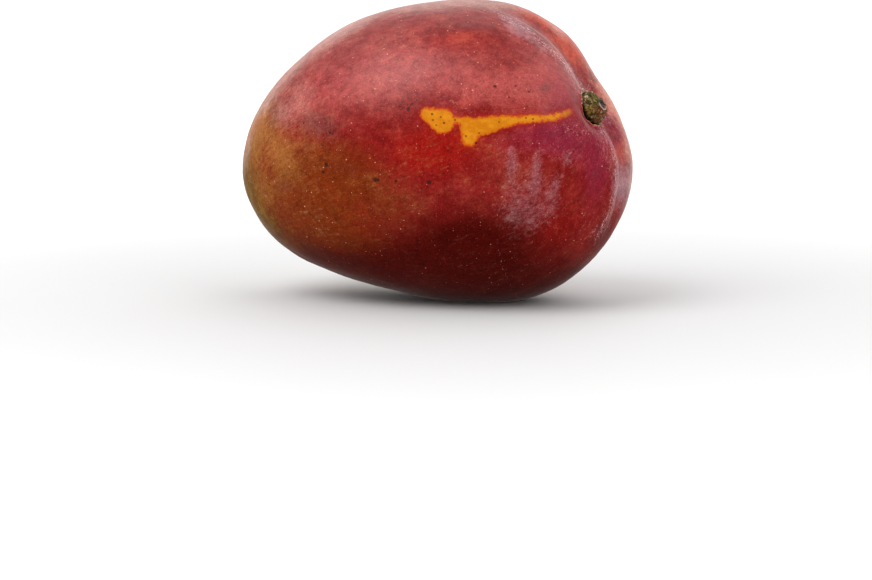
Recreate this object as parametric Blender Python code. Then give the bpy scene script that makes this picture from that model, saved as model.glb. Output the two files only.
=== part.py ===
# A whole ripe mango with the cut stub of its stem, standing on the edge of its broad side.
# Metres, +Z up. The stem end points along +X and the cheek with the best light faces -Y.
# The fruit is worked out in its own axes: x to the stem, y across the breadth, z across the thickness.

import math

import bmesh
import bpy
from mathutils import Matrix, Vector

# Body
HALF_LENGTH = 0.0573
HALF_BREADTH = 0.0470
HALF_THICKNESS = 0.0423
STEM_END_FULLNESS = 0.118
END_SLIMNESS = 0.061
END_ROUNDNESS = 0.893
SECTION_POWER = 2.15
STEM_END_DROP = 0.0139
APEX_RISE = 0.0135

# Soft swellings and dips: direction from the middle (turn about z, lift towards z), reach and height
SWELLINGS = {
    "back shoulder": (math.radians(39), math.radians(-18), 0.5, 0.0040),
    "lower edge": (math.radians(-86), math.radians(-8), 0.5, 0.0051),
    "flat run below the apex": (math.radians(223), math.radians(7), 0.5, -0.0015),
    "crown": (math.radians(85), math.radians(12), 0.22, 0.0006),
    "dip between the lobes of the back shoulder": (math.radians(10), math.radians(-18), 0.11, -0.0008),
}

# Groove that parts the two shoulders, and the cavity round the stem
GROOVE_DEPTH = 0.0024
GROOVE_WIDTH = 0.11
GROOVE_RUN_UP = 0.35
GROOVE_RUN_DOWN = 0.50
GROOVE_FADE = 0.8
GROOVE_SWAY_UP = 0.32
CAVITY_DEPTH = 0.0039
CAVITY_WIDTH = 0.295

# Pose: the stem end lifted, the fruit rolled a little on its edge, and the flat spot pressed under it
STEM_END_LIFT = math.radians(33.6)
ROLL = math.radians(-3.7)
FLAT_SPOT_DEPTH = 0.0015

# Stem stub, along its own axis from the socket floor
STEM_LEAN = Vector((0.94, -0.26, 0.20))
STEM_SHIFT = Vector((0.0014, -0.0018, 0.0062))
SOCKET_RADIUS = 0.0056
SOCKET_DEPTH = 0.0022
SOCKET_REACH = 0.010
PIECE_GAP = 0.0003
STEM_HEIGHT = 0.0072
STEM_COLLAR = 0.0028
STEM_BASE_RADIUS = 0.0051
STEM_TIP_RADIUS = 0.0021
STEM_WAIST_POWER = 1.3
CUT_SLOPE = 0.2
STEM_EDGE = 0.0004
STEM_RIBS = 7
STEM_RIB_DEPTH = 0.00025
PITH_RADIUS = 0.0012
PITH_DEPTH = 0.0006
BRACT_TURN = math.radians(45)
BRACT_HEIGHT = 0.0042
BRACT_SIZE = 0.0016
BRACT_RELIEF = 0.0006

# Mesh
FRUIT_SEGMENTS = 84
FRUIT_RINGS = 46
STEM_SEGMENTS = 42
STEM_RINGS = 12
SOCKET_SEGMENTS = 36
SMOOTH_ANGLE = math.radians(40)

# Colours, roughness and metallic
SKIN_LOOK = ((0.36, 0.035, 0.035), 0.42, 0.0)
STEM_LOOK = ((0.14, 0.11, 0.04), 0.80, 0.0)


def clear_scene():
    for obj in list(bpy.data.objects):
        bpy.data.objects.remove(obj, do_unlink=True)


def material(name, look):
    colour, roughness, metallic = look
    made = bpy.data.materials.new(name)
    made.use_nodes = True
    shader = made.node_tree.nodes["Principled BSDF"]
    shader.inputs["Base Color"].default_value = (*colour, 1.0)
    shader.inputs["Roughness"].default_value = roughness
    shader.inputs["Metallic"].default_value = metallic
    return made


def smoothstep(value):
    held = min(max(value, 0.0), 1.0)
    return held * held * (3.0 - 2.0 * held)


def direction(turn, lift):
    return Vector((math.cos(lift) * math.cos(turn), math.cos(lift) * math.sin(turn), math.sin(lift)))


def body_point(way):
    # An egg whose cross-section is a slightly squared ellipse and whose two ends sit off its middle line
    along = way.x
    across = math.sqrt(max(0.0, 1.0 - along * along))
    if across < 1e-9:
        breadth = thickness = 0.0
    else:
        cosine = way.y / across
        sine = way.z / across
        square = (abs(cosine) ** SECTION_POWER + abs(sine) ** SECTION_POWER) ** (-1.0 / SECTION_POWER)
        girth = across**END_ROUNDNESS * (1.0 + STEM_END_FULLNESS * along - END_SLIMNESS * along**2)
        breadth = HALF_BREADTH * cosine * square * girth
        thickness = HALF_THICKNESS * sine * square * girth
    drop = STEM_END_DROP * ((1.0 + along) / 2.0) ** 2
    rise = APEX_RISE * ((1.0 - along) / 2.0) ** 2
    return Vector((HALF_LENGTH * along, breadth - drop + rise, thickness))


def relief(way):
    # Height of the swellings, the groove and the stem cavity over the plain body
    height = 0.0
    for turn, lift, reach, swell in SWELLINGS.values():
        away = (way - direction(turn, lift)).length
        height += swell * math.exp(-((away / reach) ** 2))
    run, sway = (GROOVE_RUN_UP, GROOVE_SWAY_UP) if way.y > 0.0 else (GROOVE_RUN_DOWN, 0.0)
    fade = smoothstep((way.x - (1.0 - run)) / (run * GROOVE_FADE))
    from_groove = (way.z - sway * (1.0 - way.x)) / GROOVE_WIDTH
    height -= GROOVE_DEPTH * fade * math.exp(-(from_groove**2))
    height -= CAVITY_DEPTH * math.exp(-2.0 * (1.0 - way.x) / CAVITY_WIDTH**2)
    return height


def fruit_point(way):
    return body_point(way) + way * relief(way)


def resting_turn():
    # Columns are the fruit's own axes as they lie: length, breadth, thickness
    lift = Matrix.Rotation(-STEM_END_LIFT, 3, "Y")
    own_axes = Matrix(((1, 0, 0), (0, 0, -1), (0, 1, 0)))
    roll = Matrix.Rotation(ROLL, 3, "X")
    return (lift @ own_axes @ roll).to_4x4()


def object_of(name, bm, look):
    mesh = bpy.data.meshes.new(name)
    bm.to_mesh(mesh)
    bm.free()
    mesh.shade_smooth()
    mesh.set_sharp_from_angle(angle=SMOOTH_ANGLE)
    obj = bpy.data.objects.new(name, mesh)
    bpy.context.scene.collection.objects.link(obj)
    if look:
        mesh.materials.append(look)
    return obj


def fruit_mesh(turn):
    # Returns the mesh in its resting place, and the move that took it there
    bm = bmesh.new()
    bmesh.ops.create_uvsphere(bm, u_segments=FRUIT_SEGMENTS, v_segments=FRUIT_RINGS, radius=1.0)
    for vert in bm.verts:
        way = Vector((vert.co.z, vert.co.x, vert.co.y)).normalized()
        vert.co = turn @ fruit_point(way)
    lowest = min(vert.co.z for vert in bm.verts)
    flat_level = Vector((0.0, 0.0, lowest + FLAT_SPOT_DEPTH))
    cut = bmesh.ops.bisect_plane(
        bm,
        geom=bm.verts[:] + bm.edges[:] + bm.faces[:],
        plane_co=flat_level,
        plane_no=(0.0, 0.0, -1.0),
        clear_outer=True,
    )
    rim = [item for item in cut["geom_cut"] if isinstance(item, bmesh.types.BMEdge)]
    bmesh.ops.edgeloop_fill(bm, edges=rim)
    bmesh.ops.recalc_face_normals(bm, faces=bm.faces)
    middle_x = (min(v.co.x for v in bm.verts) + max(v.co.x for v in bm.verts)) / 2.0
    middle_y = (min(v.co.y for v in bm.verts) + max(v.co.y for v in bm.verts)) / 2.0
    move = Matrix.Translation((-middle_x, -middle_y, -flat_level.z))
    bm.transform(move)
    return bm, move


def stem_seat():
    # The stem's own axes in the fruit's: z out of the socket, x up the breadth, y across the thickness
    out = STEM_LEAN.normalized()
    across = out.cross(Vector((0.0, 1.0, 0.0))).normalized()
    axes = Matrix((across.cross(out), across, out)).transposed().to_4x4()
    floor = fruit_point(Vector((1.0, 0.0, 0.0))) + STEM_SHIFT - out * SOCKET_DEPTH
    return Matrix.Translation(floor) @ axes


def stem_radius(height):
    # Broad in the socket, narrowing in a soft curve to the cut tip
    share = min(max((height - STEM_COLLAR) / (STEM_HEIGHT - STEM_COLLAR), 0.0), 1.0)
    return STEM_TIP_RADIUS + (STEM_BASE_RADIUS - STEM_TIP_RADIUS) * (1.0 - share**STEM_WAIST_POWER)


def stem_mesh():
    bm = bmesh.new()
    foot = PIECE_GAP
    profile = [bm.verts.new((0.0, 0.0, foot))]
    profile.append(bm.verts.new((stem_radius(0.0) - STEM_EDGE, 0.0, foot)))
    for step in range(STEM_RINGS + 1):
        height = foot + STEM_EDGE + (STEM_HEIGHT - foot - 2.0 * STEM_EDGE) * step / STEM_RINGS
        profile.append(bm.verts.new((stem_radius(height), 0.0, height)))
    profile.append(bm.verts.new((STEM_TIP_RADIUS - STEM_EDGE, 0.0, STEM_HEIGHT)))
    profile.append(bm.verts.new((PITH_RADIUS, 0.0, STEM_HEIGHT)))
    profile.append(bm.verts.new((0.0, 0.0, STEM_HEIGHT - PITH_DEPTH)))
    edges = [bm.edges.new(pair) for pair in zip(profile, profile[1:])]
    bmesh.ops.spin(
        bm,
        geom=profile + edges,
        axis=(0.0, 0.0, 1.0),
        cent=(0.0, 0.0, 0.0),
        steps=STEM_SEGMENTS,
        angle=math.tau,
        use_merge=True,
    )
    bmesh.ops.remove_doubles(bm, verts=bm.verts, dist=1e-6)
    for vert in bm.verts:
        vert.co += stem_relief(vert.co)
    bmesh.ops.recalc_face_normals(bm, faces=bm.faces)
    return bm


def stem_relief(place):
    # Ribs that run up the stub, the scar of a bract on its side, and the slope of the cut
    radius = math.hypot(place.x, place.y)
    slope = Vector((0.0, 0.0, -CUT_SLOPE * place.x * (place.z / STEM_HEIGHT) ** 2))
    if radius < PITH_RADIUS * 1.01:
        return slope
    turn = math.atan2(place.y, place.x)
    out = Vector((place.x / radius, place.y / radius, 0.0))
    ribs = STEM_RIB_DEPTH * math.cos(STEM_RIBS * turn) * smoothstep(place.z / SOCKET_DEPTH - 1.0)
    bract = direction(BRACT_TURN, 0.0) * stem_radius(BRACT_HEIGHT)
    bract.z = BRACT_HEIGHT
    scar = BRACT_RELIEF * math.exp(-(((place - bract).length / BRACT_SIZE) ** 2))
    return out * (ribs + scar) + slope


def socket_cutter(place):
    bm = bmesh.new()
    bmesh.ops.create_cone(
        bm,
        cap_ends=True,
        segments=SOCKET_SEGMENTS,
        radius1=SOCKET_RADIUS,
        radius2=SOCKET_RADIUS,
        depth=SOCKET_REACH,
        matrix=Matrix.Translation((0.0, 0.0, SOCKET_REACH / 2.0)),
    )
    cutter = object_of("socket_cutter", bm, None)
    cutter.matrix_world = place
    cutter.hide_render = True
    cutter.display_type = "WIRE"
    return cutter


def build():
    clear_scene()
    turn = resting_turn()
    body, move = fruit_mesh(turn)
    fruit = object_of("fruit", body, material("mango_skin", SKIN_LOOK))
    place = move @ turn @ stem_seat()
    socket = fruit.modifiers.new("stem_socket", "BOOLEAN")
    socket.operation = "DIFFERENCE"
    socket.solver = "EXACT"
    socket.object = socket_cutter(place)
    stem = object_of("stem", stem_mesh(), material("stem_wood", STEM_LOOK))
    stem.parent = fruit
    stem.matrix_world = place


build()
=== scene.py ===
import math
import random

import bmesh
import bpy
import numpy as np
from mathutils import Matrix, Vector, bvhtree, noise


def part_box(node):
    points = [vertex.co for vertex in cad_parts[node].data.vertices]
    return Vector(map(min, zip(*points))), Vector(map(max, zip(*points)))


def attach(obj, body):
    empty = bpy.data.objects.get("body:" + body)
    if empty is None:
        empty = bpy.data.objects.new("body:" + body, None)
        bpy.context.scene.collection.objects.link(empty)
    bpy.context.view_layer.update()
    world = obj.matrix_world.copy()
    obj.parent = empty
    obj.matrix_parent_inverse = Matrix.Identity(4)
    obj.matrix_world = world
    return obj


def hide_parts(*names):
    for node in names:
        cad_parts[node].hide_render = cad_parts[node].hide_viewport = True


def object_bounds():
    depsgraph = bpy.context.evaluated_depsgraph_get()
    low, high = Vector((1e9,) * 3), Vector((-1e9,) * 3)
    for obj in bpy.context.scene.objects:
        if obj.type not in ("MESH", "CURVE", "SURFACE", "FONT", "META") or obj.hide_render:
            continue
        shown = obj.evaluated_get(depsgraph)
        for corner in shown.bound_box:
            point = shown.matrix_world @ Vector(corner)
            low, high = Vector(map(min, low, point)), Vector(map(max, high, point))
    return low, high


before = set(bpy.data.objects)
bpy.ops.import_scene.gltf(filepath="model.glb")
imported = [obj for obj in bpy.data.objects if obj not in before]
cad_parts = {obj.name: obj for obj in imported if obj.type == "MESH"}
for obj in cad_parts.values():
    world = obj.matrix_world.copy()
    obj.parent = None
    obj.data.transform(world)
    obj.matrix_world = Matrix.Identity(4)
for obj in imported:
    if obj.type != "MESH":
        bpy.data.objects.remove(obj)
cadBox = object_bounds()
print("frame loaded")
millimetres = 1000.0    # to a metre


# Shared numbers and the fruit's shape rules
# The camera stands where the photograph was taken from; pixels are the photograph's own
camera = {
    "azimuth": 18.76,
    "elevation": 4.0,
    "distance": 0.741,
    "lens": 100.0,
    "sensor": 36.0,
    "imageSize": (872, 580),
    "fruitPixel": (432.7, 149.0),   # where the middle of the fruit's box falls
}

# The fruit in its own axes: x to the stem, y across the breadth, z across the thickness, in metres
body = {
    "halfLength": 0.0573,
    "halfBreadth": 0.0470,
    "halfThickness": 0.0423,
    "stemEndFullness": 0.118,
    "endSlimness": 0.061,
    "endRoundness": 0.893,
    "sectionPower": 2.15,
    "stemEndDrop": 0.0139,
    "apexRise": 0.0135,
    # turn and lift in degrees, reach, height
    "swellings": [
        (39, -18, 0.5, 0.0040),      # back shoulder
        (-86, -8, 0.5, 0.0051),      # lower edge
        (223, 7, 0.5, -0.0015),      # flat run below the apex
        (85, 12, 0.22, 0.0006),      # crown
        (10, -18, 0.11, -0.0008),    # dip between the lobes of the back shoulder
    ],
    "grooveDepth": 0.0024,
    "grooveWidth": 0.11,
    "grooveRunUp": 0.35,
    "grooveRunDown": 0.50,
    "grooveFade": 0.8,
    "grooveSwayUp": 0.32,
    "cavityDepth": 0.0039,
    "cavityWidth": 0.295,
    "stemEndLift": 33.6,
    "roll": -3.7,
    "flatSpotDepth": 0.0015,
    "flatSpotEdge": 0.0004,
}

seat = {
    "lean": (0.94, -0.26, 0.20),
    "shift": (0.0014, -0.0018, 0.0062),
    "depth": 0.0022,
    "wallRadius": 0.00555,
    "wallWidth": 0.0007,
    "wallUnevenness": 0.0006,
    "lipHeight": 0.00025,
    "lipRadius": 0.0062,
    "lipWidth": 0.0006,
    "wallScale": 650.0,
    "nudge": (-0.00057, 0.0007, 0.0),   # across the stub
    "dipDepth": 0.0026,    # the near shoulder is worn down beside the stub
    "dipTurn": 120,
    "dipSpread": 50,
    "dipReach": 0.007,
    "pressReach": 2.0,     # in lip radii, how far the socket changes the skin
    "searches": 40,
}

fruitMesh = {
    "segments": 300,
    "rings": 240,
    "denseShare": 0.24,     # share of the rings that lie round the stem
    "denseReach": 0.22,     # how far they reach from it, in radians
    "waveHeight": 0.00022,  # slow unevenness of the skin
    "waveScale": 5.0,
    "dentHeight": 0.00006,
    "dentScale": 24.0,
    "creaseDepth": 0.00015,  # sharp bottom of the groove between the shoulders
    "creaseWidth": 0.022,
    "creaseShift": 0.03,
    "wrinkleHeight": 0.00010,  # short folds that run out from the stem
    "wrinkleCount": 9.0,
    "wrinkleReach": 0.30,
}


def smoothstep(value):
    held = np.clip(value, 0.0, 1.0)
    return held * held * (3.0 - 2.0 * held)


def direction(turn, lift):
    turn, lift = math.radians(turn), math.radians(lift)
    return np.array((math.cos(lift) * math.cos(turn), math.cos(lift) * math.sin(turn), math.sin(lift)))


def bodyPoints(ways):
    along, across = ways[:, 0], np.hypot(ways[:, 1], ways[:, 2]) + 1e-12
    cosine, sine = ways[:, 1] / across, ways[:, 2] / across
    power = body["sectionPower"]
    square = (abs(cosine) ** power + abs(sine) ** power + 1e-9) ** (-1.0 / power)
    fullness = 1.0 + body["stemEndFullness"] * along - body["endSlimness"] * along**2
    girth = across ** body["endRoundness"] * fullness
    drop = body["stemEndDrop"] * ((1.0 + along) / 2.0) ** 2
    rise = body["apexRise"] * ((1.0 - along) / 2.0) ** 2
    breadth = body["halfBreadth"] * cosine * square * girth - drop + rise
    thickness = body["halfThickness"] * sine * square * girth
    return np.stack((body["halfLength"] * along, breadth, thickness), axis=1)


def groove(ways):
    # How strongly the groove is cut at each direction, and how far each lies from its middle line
    upper = ways[:, 1] > 0.0
    run = np.where(upper, body["grooveRunUp"], body["grooveRunDown"])
    sway = np.where(upper, body["grooveSwayUp"], 0.0)
    fromPole = 1.0 - ways[:, 0]
    return smoothstep((run - fromPole) / (run * body["grooveFade"])), ways[:, 2] - sway * fromPole


def relief(ways):
    height = np.zeros(len(ways))
    for turn, lift, reach, swell in body["swellings"]:
        away = np.linalg.norm(ways - direction(turn, lift), axis=1)
        height += swell * np.exp(-((away / reach) ** 2))
    cut, away = groove(ways)
    height -= body["grooveDepth"] * cut * np.exp(-((away / body["grooveWidth"]) ** 2))
    height -= body["cavityDepth"] * np.exp(-2.0 * (1.0 - ways[:, 0]) / body["cavityWidth"] ** 2)
    return height


def crease(ways):
    # 1 along the bottom of the groove, 0 away from it
    cut, away = groove(ways)
    away = (away - fruitMesh["creaseShift"]) / fruitMesh["creaseWidth"]
    return cut * np.exp(-(away**2))


def fruitPoints(ways):
    return bodyPoints(ways) + ways * relief(ways)[:, None]


def fruitPoint(way):
    return Vector(fruitPoints(np.array([way]))[0])


def restingTurn():
    lift = Matrix.Rotation(math.radians(-body["stemEndLift"]), 3, "Y")
    ownAxes = Matrix(((1, 0, 0), (0, 0, -1), (0, 1, 0)))
    roll = Matrix.Rotation(math.radians(body["roll"]), 3, "X")
    return (lift @ ownAxes @ roll).to_4x4()


def seatPlace():
    # The stem's own axes in the fruit's: z out of the socket, from the socket's floor
    out = Vector(seat["lean"]).normalized()
    across = out.cross(Vector((0.0, 1.0, 0.0))).normalized()
    axes = Matrix((across.cross(out), across, out)).transposed().to_4x4()
    floor = fruitPoint((1.0, 0.0, 0.0)) + Vector(seat["shift"]) - out * seat["depth"]
    return Matrix.Translation(floor) @ axes @ Matrix.Translation(seat["nudge"])


def seatWay():
    # The direction whose point on the skin lies under the stem
    place = seatPlace()
    out = place.to_3x3().col[2].copy()
    way = Vector((1.0, 0.0, 0.0))
    for search in range(seat["searches"]):
        miss = place.translation - fruitPoint(way)
        miss -= out * miss.dot(out)
        way = (way + miss / body["halfLength"]).normalized()
    return way


def moved(points, matrix):
    matrix = np.array(matrix)
    return points @ matrix[:3, :3].T + matrix[:3, 3]


def noiseAt(points, scale):
    return np.array([noise.noise(point) for point in (points * scale).tolist()])


def newObject(name, bm, paint, smooth=True):
    mesh = bpy.data.meshes.new(name)
    bm.to_mesh(mesh)
    bm.free()
    if smooth:
        mesh.shade_smooth()
    mesh.materials.append(paint)
    obj = bpy.data.objects.new(name, mesh)
    bpy.context.scene.collection.objects.link(obj)
    return obj


def writeVectors(mesh, name, *columns):
    attribute = mesh.attributes.new(name, "FLOAT_VECTOR", "POINT")
    attribute.data.foreach_set("vector", np.stack(columns, axis=1).astype(np.float32).ravel())


# Where the photograph was taken from
boxMiddle = (cadBox[0] + cadBox[1]) / 2.0
azimuth, elevation = math.radians(camera["azimuth"]), math.radians(camera["elevation"])
focal = camera["imageSize"][0] * camera["lens"] / camera["sensor"]
level = math.cos(elevation)
back = Vector((math.sin(azimuth) * level, -math.cos(azimuth) * level, math.sin(elevation)))
cameraPlace = boxMiddle + back * camera["distance"]
middleX, middleY = camera["imageSize"][0] / 2.0, camera["imageSize"][1] / 2.0
pitch = elevation + math.atan((middleY - camera["fruitPixel"][1]) / focal)
turnRight = math.atan((middleX - camera["fruitPixel"][0]) / focal)
cameraTurn = Matrix.Rotation(azimuth - turnRight, 3, "Z") @ Matrix.Rotation(math.pi / 2.0 - pitch, 3, "X")


def pixelsOf(points):
    seen = (points - np.array(cameraPlace)) @ np.array(cameraTurn)
    return middleX - focal * seen[:, 0] / seen[:, 2], middleY + focal * seen[:, 1] / seen[:, 2]


# Shader helper
bumpDistance = 0.001


class Value:
    # A number socket that takes part in sums
    def __init__(self, paint, socket):
        self.paint, self.socket = paint, socket

    def math(self, operation, *values):
        return self.paint.math(operation, *values)

    def __add__(self, other):
        return self.math("ADD", self, other)

    def __sub__(self, other):
        return self.math("SUBTRACT", self, other)

    def __rsub__(self, other):
        return self.math("SUBTRACT", other, self)

    def __mul__(self, other):
        return self.math("MULTIPLY", self, other)

    def __truediv__(self, other):
        return self.math("DIVIDE", self, other)

    def __pow__(self, other):
        return self.math("POWER", self, other)

    __radd__, __rmul__ = __add__, __mul__

    def most(self, other):
        return self.math("MAXIMUM", self, other)

    def size(self):
        return self.math("ABSOLUTE", self)

    def step(self, low, high):
        # 0 below low, 1 above high, soft between
        settings = {"interpolation_type": "SMOOTHSTEP"}
        inputs = {"Value": self, "From Min": low, "From Max": high}
        return Value(self.paint, self.paint.node("MapRange", settings, inputs).outputs["Result"])


class Paint:
    def __init__(self, owner, coordinates="Object"):
        owner.use_nodes = True
        self.material, self.tree = owner, owner.node_tree
        self.shader = self.tree.nodes.get("Principled BSDF") or self.tree.nodes.get("Background")
        self.place = self.node("TexCoord").outputs[coordinates]

    def node(self, kind, settings=None, inputs=None):
        made = self.tree.nodes.new("ShaderNode" + kind)
        for key, value in (settings or {}).items():
            setattr(made, key, value)
        self.feed(made, inputs or {})
        return made

    def feed(self, node, inputs):
        for key, value in inputs.items():
            socket = node.inputs[key]
            value = value.socket if isinstance(value, Value) else value
            if isinstance(value, bpy.types.NodeSocket):
                self.tree.links.new(value, socket)
            else:
                socket.default_value = (*value, 1.0) if socket.type == "RGBA" else value

    def math(self, operation, *values):
        made = self.node("Math", {"operation": operation}, dict(enumerate(values)))
        return Value(self, made.outputs[0])

    def split(self, name):
        # The three numbers of one of the mesh's own attributes
        read = self.node("Attribute", {"attribute_name": name}).outputs["Vector"]
        parts = self.node("SeparateXYZ", None, {"Vector": read})
        return [Value(self, parts.outputs[axis]) for axis in "XYZ"]

    def vector(self, x, y, z):
        return self.node("CombineXYZ", None, {"X": x, "Y": y, "Z": z}).outputs["Vector"]

    def measure(self, operation, *vectors):
        # A number from vectors, such as their distance
        made = self.node("VectorMath", {"operation": operation}, dict(enumerate(vectors)))
        return Value(self, made.outputs["Value"])

    def noise(self, scale, detail, rough, warp=0.0, at=None):
        # From -0.5 to 0.5
        inputs = {"Vector": at or self.place, "Scale": scale, "Detail": detail}
        inputs.update({"Roughness": rough, "Distortion": warp})
        return Value(self, self.node("TexNoise", None, inputs).outputs[0]) - 0.5

    def cells(self, scale):
        # Distance to the nearest cell point, and a random number for that cell
        made = self.node("TexVoronoi", None, {"Vector": self.place, "Scale": scale})
        parts = self.node("SeparateColor", None, {"Color": made.outputs["Color"]})
        return Value(self, made.outputs["Distance"]), Value(self, parts.outputs["Red"])

    def clefts(self, scale, at):
        # Distance to the nearest border between two cells
        made = self.node("TexVoronoi", {"feature": "DISTANCE_TO_EDGE"}, {"Vector": at, "Scale": scale})
        return Value(self, made.outputs["Distance"])

    def dots(self, kind, where=1.0):
        # 1 in round dots, one to a cell, and 0 between them; where is the share of their full size
        away, chance = self.cells(kind["scale"])
        size = (chance ** kind["power"] * kind["spread"] + kind["least"]) * where + smallestDot
        return 1.0 - (away / size).step(*kind["edge"])

    def blend(self, mask, under, over):
        settings = {"data_type": "RGBA", "clamp_factor": True}
        return self.node("Mix", settings, {0: mask, 6: under, 7: over}).outputs[2]

    def lay(self, mask, over):
        # One more colour over those that are there
        self.colour = self.blend(mask, self.colour, over)

    def finish(self, roughness, height):
        bump = self.node("Bump", None, {"Height": height, "Distance": bumpDistance})
        self.feed(self.shader, {"Base Color": self.colour, "Roughness": roughness})
        self.feed(self.shader, {"Normal": bump.outputs["Normal"]})
        return self.material


def sumOf(values, shares):
    # The named values, each times its share
    parts = [values[name] * share for name, share in shares.items()]
    return sum(parts[1:], parts[0])


def maskOf(values, shares, edge):
    # 0 where the sum is below the edge, 1 where it is above
    return sumOf(values, shares).step(*edge)


# Ellipses in the photograph's pixels: x, y, half width, half height, turn in degrees, strength
seenZones = {
    "olive": [(240, 196, 22, 72, -6, 1.1), (262, 234, 28, 18, 38, 0.9), (300, 262, 60, 16, 25, 0.8),
              (356, 280, 40, 12, 20, 0.6)],
    "tan": [(296, 190, 60, 46, 10, 1.0), (336, 240, 70, 26, 18, 0.9), (262, 120, 20, 40, 32, 0.8),
            (345, 165, 46, 30, 0, 0.6), (390, 205, 46, 26, 20, 0.5)],
    "ochre": [(277, 146, 13, 26, -28, 0.85), (266, 196, 16, 20, 20, 0.45), (256, 130, 8, 34, 24, 0.9),
              (257, 172, 12, 34, 0, 0.7), (288, 176, 18, 18, 0, 0.35), (300, 138, 22, 26, 0, 0.3),
              (250, 150, 10, 26, 0, 0.3), (356, 181, 10, 5, 0, 0.3)],
    # low: painted shade, the underside of the fruit darkened to a dark red
    "low": [(470, 276, 120, 48, 0, 1.0), (380, 290, 90, 32, 5, 1.1), (470, 232, 66, 32, 0, 0.6),
            (575, 288, 60, 22, -24, 0.7), (330, 266, 60, 18, 28, 0.6), (270, 240, 34, 18, 40, 0.35),
            (606, 234, 12, 26, 27, 0.5)],
    "purple": [(562, 92, 24, 32, -30, 0.6), (560, 138, 34, 22, 10, 1.0), (612, 126, 12, 18, -20, 1.0),
               (598, 170, 18, 44, 8, 0.8), (515, 140, 24, 18, 0, 0.4), (330, 80, 30, 20, -30, 0.3)],
    "orange": [(572, 48, 34, 15, 48, 1.0), (455, 36, 50, 7, -4, 0.35), (535, 16, 30, 8, 24, 0.6),
               (609, 146, 7, 20, -22, 0.6), (622, 150, 6, 18, -10, 0.55)],
    # peachRimLight: pale orange skin on the far shoulder, partly a painted rim light where it turns away
    "peachRimLight": [(604, 82, 12, 30, -28, 1.15), (620, 112, 10, 28, -24, 1.15), (629, 150, 7, 15, 0, 1.1)],
    # bloom: waxy bloom; the strong patch at 622, 186 beside the lower crest is a painted reflection
    "bloom": [(528, 208, 34, 30, 10, 0.75), (511, 160, 7, 18, 0, 0.8), (537, 168, 6, 22, 8, 0.9),
              (569, 158, 7, 10, 0, 0.8), (556, 186, 7, 26, 8, 0.6), (518, 28, 20, 9, 36, 1.5),
              (542, 48, 14, 5, 42, 0.7), (622, 186, 10, 22, 6, 1.9), (592, 150, 12, 18, 0, 0.35)],
    # roseHighlight: painted highlight, lighter rose skin where the key light falls on the upper cheek
    "roseHighlight": [(400, 74, 74, 34, -8, 0.9), (500, 88, 46, 20, 0, 1.15), (552, 84, 26, 26, -20, 0.7),
              (315, 100, 44, 28, -30, 0.45), (290, 112, 26, 20, -40, 0.4), (612, 148, 12, 20, -15, 1.4),
              (552, 82, 26, 20, 30, 0.5), (522, 42, 22, 12, 40, 0.5)],
    "speck": [(312, 132, 36, 26, 0, 0.9), (410, 102, 16, 13, 0, 1.1), (385, 186, 44, 22, 0, 0.9),
              (258, 180, 16, 36, 0, 0.9), (512, 92, 26, 13, 0, 1.0), (430, 180, 40, 60, 0, 0.35),
              (552, 148, 24, 14, 0, 0.5), (325, 172, 16, 12, 0, 0.8)],
    "scuff": [(562, 62, 34, 6, 50, 1.1), (603, 146, 5, 34, -14, 0.7), (611, 206, 8, 26, 14, 0.5),
              (580, 128, 20, 16, 0, 0.5), (590, 228, 22, 20, 0, 0.5), (586, 92, 10, 8, 40, 0.9),
              (607, 118, 7, 9, 0, 0.7), (480, 262, 60, 20, 0, 0.2), (545, 160, 50, 40, 0, 0.3)],
    # rimReflection: painted reflection, a pale band where the skin turns away near the outline
    "rimReflection": [(432, 0, 110, 12, -5, 1.2), (345, 24, 46, 12, -32, 1.3), (290, 66, 42, 9, -46, 1.3),
             (262, 104, 24, 6, -56, 1.1), (246, 148, 6, 34, 10, 0.8), (500, 4, 60, 8, 10, 0.7),
             (631, 178, 4, 34, 4, 0.9), (556, 29, 18, 5, 46, 0.9), (281, 114, 14, 16, -40, 0.4),
             (588, 66, 6, 18, -35, 0.5), (610, 116, 6, 9, -20, 0.4), (465, 38, 44, 12, 0, -0.4),
             (298, 96, 24, 20, -44, 0.45)],
    "smudge": [(318, 124, 26, 15, 15, 0.9), (345, 168, 22, 12, 0, 0.5), (350, 60, 24, 12, -30, 0.4),
               (283, 186, 16, 10, 0, 0.5), (470, 25, 36, 4, 2, 0.8), (545, 88, 8, 6, 0, 0.9)],
    "glow": [(440, 158, 60, 30, 0, 0.6), (440, 46, 60, 16, -6, 0.6), (560, 230, 40, 24, -20, 0.6),
             (575, 62, 12, 24, -35, 0.7), (420, 150, 40, 30, 0, 0.4), (455, 140, 30, 12, 0, 0.6)],
    "shine": [(420, 30, 220, 52, 0, 0.75), (380, 90, 110, 40, -10, 0.5), (580, 90, 50, 60, 0, 0.6),
              (465, 40, 54, 14, 0, -0.4), (628, 180, 12, 60, 0, 0.8)],
}

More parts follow.
